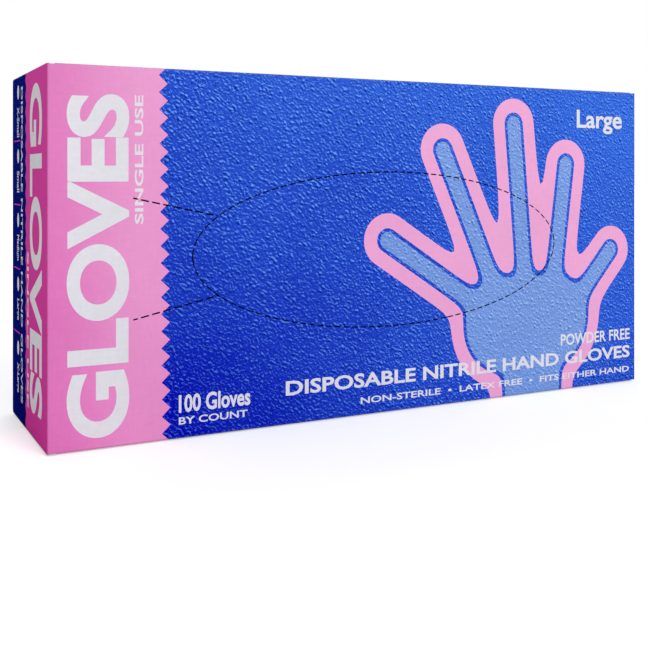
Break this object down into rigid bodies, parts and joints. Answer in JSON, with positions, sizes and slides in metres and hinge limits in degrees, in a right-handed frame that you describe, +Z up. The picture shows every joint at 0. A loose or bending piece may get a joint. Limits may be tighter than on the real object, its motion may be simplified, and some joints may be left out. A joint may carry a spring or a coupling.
{
  "type": "glove dispenser box",
  "caption": "Paperboard dispenser carton of disposable gloves, with a tear-out oval, a thumb tab and hinged end flaps.",
  "frame": {"origin": "middle of the carton's footprint, at the face that it stands on", "axes": "+X along the carton, to the right as seen from the front; the front panel faces -Y; +Z up"},
  "size_m": [0.241, 0.062, 0.12],
  "materials": {
    "printed_board": "printed, semi-gloss",
    "dust_board": "coated, matt",
    "hot_melt_glue": "waxy",
    "nitrile": "soft matt"
  },
  "bodies": {
    "carton": {"front_panel": "printed_board", "back_panel": "printed_board", "top_panel": "printed_board", "bottom_panel": "printed_board", "glue_flap": "dust_board", "seam_glue": "hot_melt_glue", "glove_bundle_01": "nitrile", "glove_bundle_02": "nitrile", "glove_bundle_03": "nitrile", "glove_bundle_04": "nitrile", "glove_bundle_05": "nitrile", "glove_bundle_06": "nitrile", "glove_bundle_07": "nitrile", "glove_bundle_08": "nitrile", "glove_bundle_09": "nitrile", "glove_bundle_10": "nitrile", "glove_bundle_11": "nitrile", "glove_bundle_12": "nitrile", "glove_bundle_13": "nitrile", "glove_bundle_14": "nitrile", "glove_bundle_15": "nitrile", "glove_bundle_16": "nitrile", "glove_bundle_17": "nitrile", "glove_bundle_18": "nitrile", "glove_bundle_19": "nitrile", "glove_bundle_20": "nitrile"},
    "tear_out": {"tear_out_panel": "printed_board"},
    "thumb_tab": {"thumb_tab": "printed_board"},
    "left_outer": {"left_outer_flap": "printed_board"},
    "left_inner": {"left_inner_flap": "dust_board", "left_glue_bead_1": "hot_melt_glue", "left_glue_bead_2": "hot_melt_glue"},
    "left_top_dust": {"left_top_dust_flap": "dust_board"},
    "left_bottom_dust": {"left_bottom_dust_flap": "dust_board"},
    "right_outer": {"right_outer_flap": "printed_board"},
    "right_inner": {"right_inner_flap": "dust_board", "right_glue_bead_1": "hot_melt_glue", "right_glue_bead_2": "hot_melt_glue"},
    "right_top_dust": {"right_top_dust_flap": "dust_board"},
    "right_bottom_dust": {"right_bottom_dust_flap": "dust_board"}
  },
  "joints": [
    {"name": "tear_out_slide", "type": "slide", "parent": "carton", "child": "tear_out", "axis": [0, -1, 0], "range_m": [0, 0.12]},
    {"name": "thumb_tab_hinge", "type": "hinge", "parent": "carton", "child": "thumb_tab", "pos_m": [-0.0931, -0.031, 0.0589], "axis": [0, 0, -1], "range_deg": [-15, 140]},
    {"name": "left_outer_hinge", "type": "hinge", "parent": "carton", "child": "left_outer", "pos_m": [-0.1205, -0.031, 0.06], "axis": [0, 0, 1], "range_deg": [0, 170]},
    {"name": "left_inner_hinge", "type": "hinge", "parent": "carton", "child": "left_inner", "pos_m": [-0.1192, 0.031, 0.06], "axis": [0, 0, -1], "range_deg": [0, 145]},
    {"name": "left_top_dust_hinge", "type": "hinge", "parent": "carton", "child": "left_top_dust", "pos_m": [-0.1184, 0, 0.12], "axis": [0, 1, 0], "range_deg": [0, 77]},
    {"name": "left_bottom_dust_hinge", "type": "hinge", "parent": "carton", "child": "left_bottom_dust", "pos_m": [-0.1184, 0, 0], "axis": [0, -1, 0], "range_deg": [0, 77]},
    {"name": "right_outer_hinge", "type": "hinge", "parent": "carton", "child": "right_outer", "pos_m": [0.1205, -0.031, 0.06], "axis": [0, 0, -1], "range_deg": [0, 170]},
    {"name": "right_inner_hinge", "type": "hinge", "parent": "carton", "child": "right_inner", "pos_m": [0.1192, 0.031, 0.06], "axis": [0, 0, 1], "range_deg": [0, 145]},
    {"name": "right_top_dust_hinge", "type": "hinge", "parent": "carton", "child": "right_top_dust", "pos_m": [0.1184, 0, 0.12], "axis": [0, -1, 0], "range_deg": [0, 77]},
    {"name": "right_bottom_dust_hinge", "type": "hinge", "parent": "carton", "child": "right_bottom_dust", "pos_m": [0.1184, 0, 0], "axis": [0, 1, 0], "range_deg": [0, 77]}
  ],
  "couplings": [
    {"joint": "left_inner_hinge", "follows": "left_outer_hinge", "ratio": 0.85},
    {"joint": "left_top_dust_hinge", "follows": "left_outer_hinge", "ratio": 0.45},
    {"joint": "left_bottom_dust_hinge", "follows": "left_outer_hinge", "ratio": 0.45},
    {"joint": "right_inner_hinge", "follows": "right_outer_hinge", "ratio": 0.85},
    {"joint": "right_top_dust_hinge", "follows": "right_outer_hinge", "ratio": 0.45},
    {"joint": "right_bottom_dust_hinge", "follows": "right_outer_hinge", "ratio": 0.45}
  ]
}
